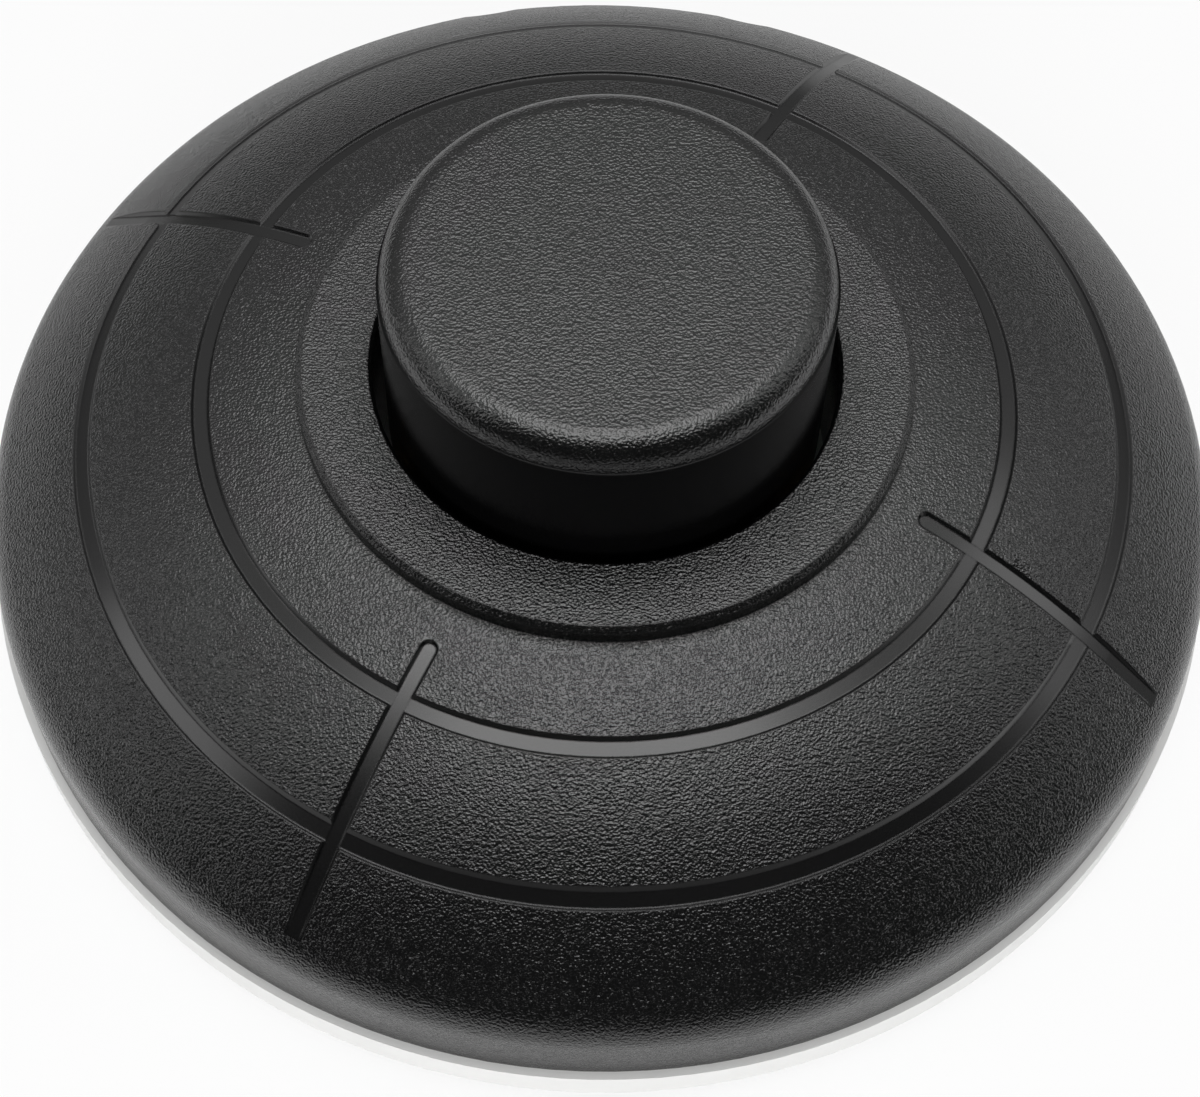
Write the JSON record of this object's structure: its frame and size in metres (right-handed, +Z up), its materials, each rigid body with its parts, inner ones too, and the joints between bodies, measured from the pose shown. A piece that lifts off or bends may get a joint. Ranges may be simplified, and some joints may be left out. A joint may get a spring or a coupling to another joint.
{
  "type": "lamp foot switch",
  "caption": "Round floor switch for a lamp's cord, with a grooved domed cover, a sprung push button, a ratchet contact mechanism and rubber feet.",
  "frame": {"origin": "middle of the round base, on the floor that the rubber feet stand on", "axes": "+Z up along the button's axis, +Y towards the cord inlets, -Y towards the viewer of the picture"},
  "size_m": [0.0648, 0.0648, 0.0244],
  "materials": {
    "cover_plastic": "black with a fine matt grain, smooth in the grooves",
    "button_plastic": "black with a fine matt grain",
    "base_plastic": "pale grey, plain",
    "foot_rubber": "black, matt",
    "rotor_plastic": "natural white, slippery",
    "axle_steel": "turned",
    "spring_steel": "drawn wire",
    "screw_steel": "plated",
    "contact_brass": "stamped strip",
    "tip_metal": "bright contact metal",
    "terminal_brass": "machined"
  },
  "bodies": {
    "housing": {"top_cover": "cover_plastic", "base_plate": "base_plastic", "rubber_foot_1": "foot_rubber", "rubber_foot_2": "foot_rubber", "rubber_foot_3": "foot_rubber", "housing_screws": "screw_steel", "rotor_axle": "axle_steel", "return_spring": "spring_steel", "contact_strip_left": "contact_brass", "contact_strip_right": "contact_brass", "contact_tip_left": "tip_metal", "contact_tip_right": "tip_metal", "terminal_left": "terminal_brass", "terminal_right": "terminal_brass", "terminal_neutral": "terminal_brass", "terminal_screws": "screw_steel", "cord_clamp_left": "base_plastic", "cord_clamp_right": "base_plastic", "clamp_screws": "screw_steel"},
    "button": {"push_button": "button_plastic"},
    "rotor": {"ratchet_rotor": "rotor_plastic", "contact_bridge": "contact_brass", "bridge_tips": "tip_metal", "spring_washer": "axle_steel"}
  },
  "joints": [
    {"name": "button_press", "type": "slide", "parent": "housing", "child": "button", "axis": [0, 0, -1], "range_m": [0, 0.0045], "stiffness_N_per_m": 1500, "springref_m": -0.004, "deforming": ["return_spring"]},
    {"name": "rotor_turn", "type": "hinge", "parent": "housing", "child": "rotor", "pos_m": [0, 0, 0.0054], "axis": [0, 0, 1], "range_deg": [0, 41]}
  ],
  "couplings": [
    {"joint": "rotor_turn", "follows": "button_press", "rad_per_m": 157.08}
  ]
}
